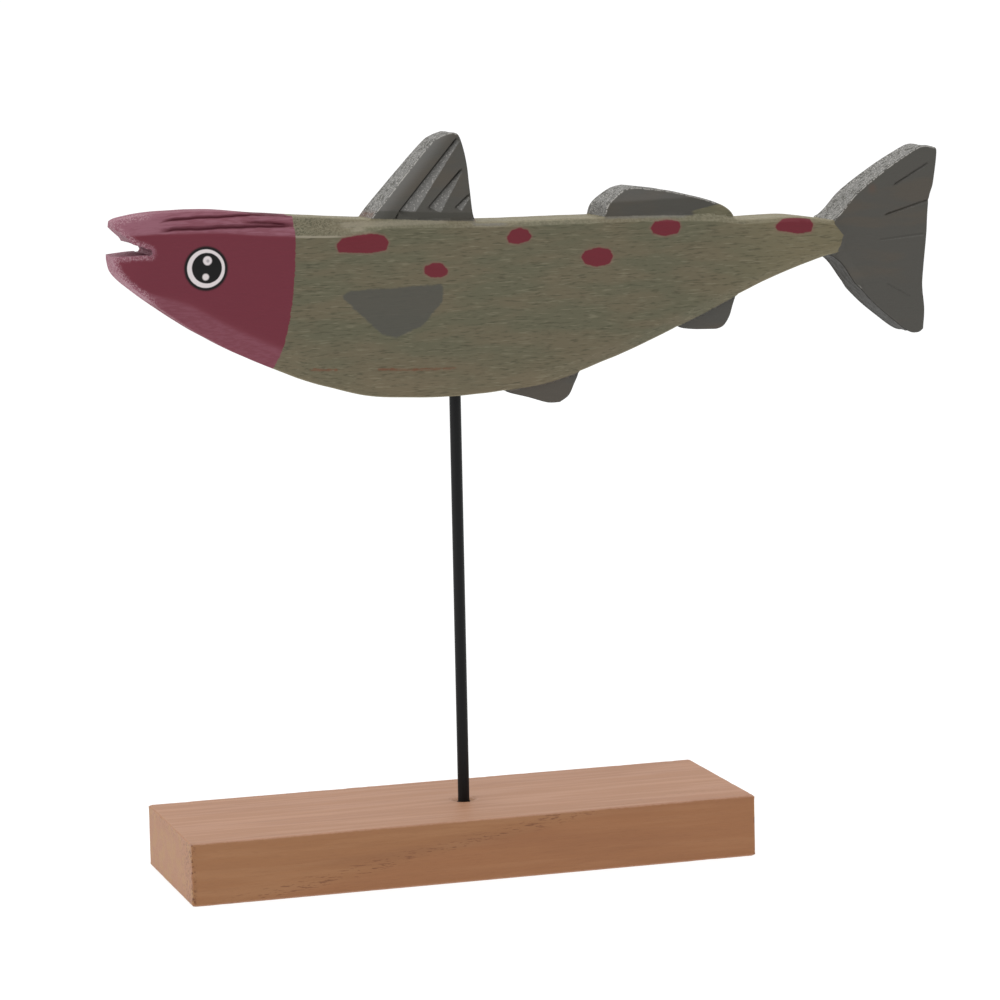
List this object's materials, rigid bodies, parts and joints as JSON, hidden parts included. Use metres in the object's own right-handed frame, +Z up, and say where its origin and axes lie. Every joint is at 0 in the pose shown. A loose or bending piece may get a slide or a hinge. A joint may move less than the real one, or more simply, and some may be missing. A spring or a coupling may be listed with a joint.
{
  "type": "wooden fish sculpture",
  "caption": "Flat carved and painted wooden fish with a maroon head and grey fins, held above an oblong wooden block by one thin black upright rod.",
  "frame": {"origin": "middle of the base block's underside", "axes": "+X from the fish's head to its tail, +Z up, -Y is the side seen in the picture"},
  "size_m": [0.2951, 0.066, 0.2526],
  "materials": {
    "base_wood": "bare reddish-brown hardwood block, sanded, with open grain and one or two ragged arrises",
    "rod_black": "thin steel rod, satin black",
    "fish_paint": "carved wood under a thin matt wash: olive body, maroon head, grey fins, dark red spots, grain showing through"
  },
  "bodies": {
    "root": {"base": "base_wood", "rod": "rod_black", "fish": "fish_paint"}
  },
  "joints": []
}
